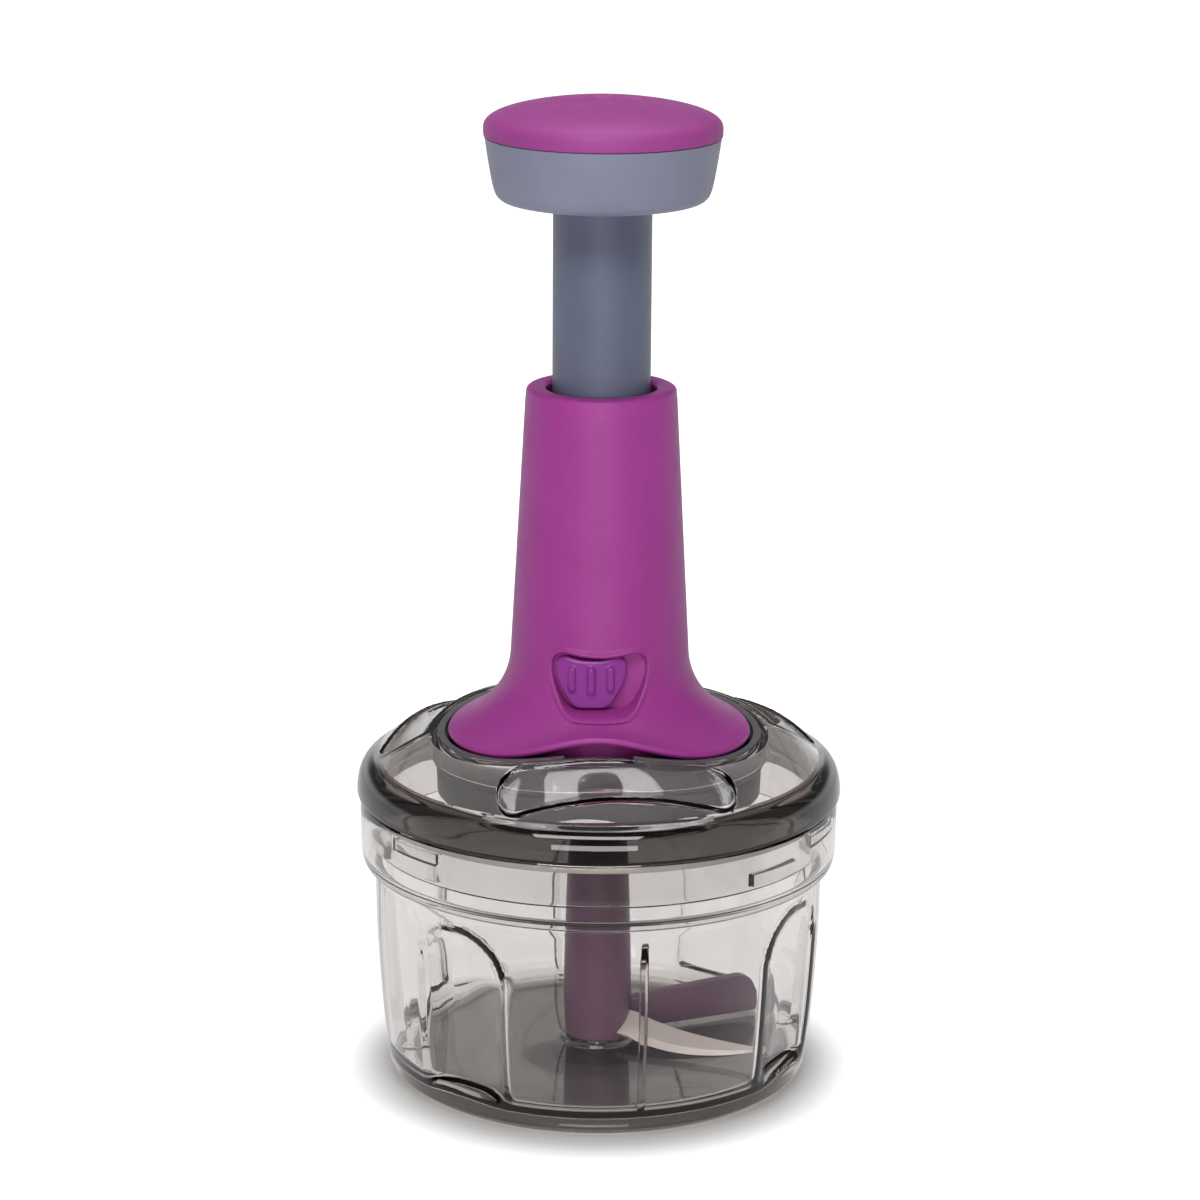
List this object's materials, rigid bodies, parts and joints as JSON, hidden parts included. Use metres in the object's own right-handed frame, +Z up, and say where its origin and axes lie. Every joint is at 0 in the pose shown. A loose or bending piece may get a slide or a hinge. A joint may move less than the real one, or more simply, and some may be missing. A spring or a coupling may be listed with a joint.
{
  "type": "food chopper",
  "caption": "Hand-pressed food chopper: a push knob on a sprung tube spins a blade in a clear bowl under a domed twist-off lid",
  "frame": {"origin": "middle of the base, on the surface that the chopper stands on", "axes": "+Z up along the column, -Y towards the lock slider, +X to the right as seen from the lock slider's side"},
  "size_m": [0.151, 0.151, 0.3078],
  "materials": {
    "purple": "satin",
    "slate": "satin",
    "hub_grey": "satin",
    "smoky_clear": "clear smoky",
    "pad_rubber": "matte",
    "silicone": "matte",
    "stem_purple": "gloss",
    "steel": "bright",
    "nylon": "satin",
    "black_plastic": "satin"
  },
  "bodies": {
    "bowl": {"bowl": "smoky_clear", "base_pad": "pad_rubber", "blade_pin": "steel"},
    "seal": {"lid_seal": "silicone"},
    "lid": {"lid": "smoky_clear", "hub_housing": "hub_grey", "handle_column": "purple", "guide_bush": "black_plastic", "housing_screw_1": "steel", "housing_screw_2": "steel", "housing_screw_3": "steel", "return_spring": "steel"},
    "lock": {"lock_slider": "purple"},
    "plunger": {"plunger_tube": "slate", "drive_nut": "nylon", "knob_base": "slate", "knob_cap": "purple", "knob_screw_1": "steel", "knob_screw_2": "steel", "knob_screw_3": "steel"},
    "screw": {"drive_screw": "steel", "clutch_driver": "nylon", "thrust_washer": "steel", "spring_cup": "nylon"},
    "blade": {"blade_stem": "stem_purple", "lower_blade": "steel", "upper_blade": "steel", "paddle_arm": "stem_purple"}
  },
  "joints": [
    {"name": "lid_lift", "type": "slide", "parent": "bowl", "child": "seal", "axis": [0, 0, 1], "range_m": [0, 0.06]},
    {"name": "lid_turn", "type": "hinge", "parent": "seal", "child": "lid", "pos_m": [0, 0, 0.0855], "axis": [0, 0, 1], "range_deg": [0, 22]},
    {"name": "plunger_press", "type": "slide", "parent": "lid", "child": "plunger", "axis": [0, 0, -1], "range_m": [0, 0.055], "stiffness_N_per_m": 150, "springref_m": -0.04, "deforming": ["return_spring"]},
    {"name": "lock_slide", "type": "slide", "parent": "lid", "child": "lock", "axis": [1, 0, 0], "range_m": [0, 0.005]},
    {"name": "screw_spin", "type": "hinge", "parent": "lid", "child": "screw", "pos_m": [0, 0, 0.1], "axis": [0, 0, 1], "range_deg": [0, 545]},
    {"name": "blade_spin", "type": "hinge", "parent": "bowl", "child": "blade", "pos_m": [0, 0, 0.015], "axis": [0, 0, 1], "range_deg": [0, 545]}
  ],
  "couplings": [
    {"joint": "screw_spin", "follows": "plunger_press", "rad_per_m": 171.36},
    {"joint": "blade_spin", "follows": "plunger_press", "rad_per_m": 171.36}
  ]
}
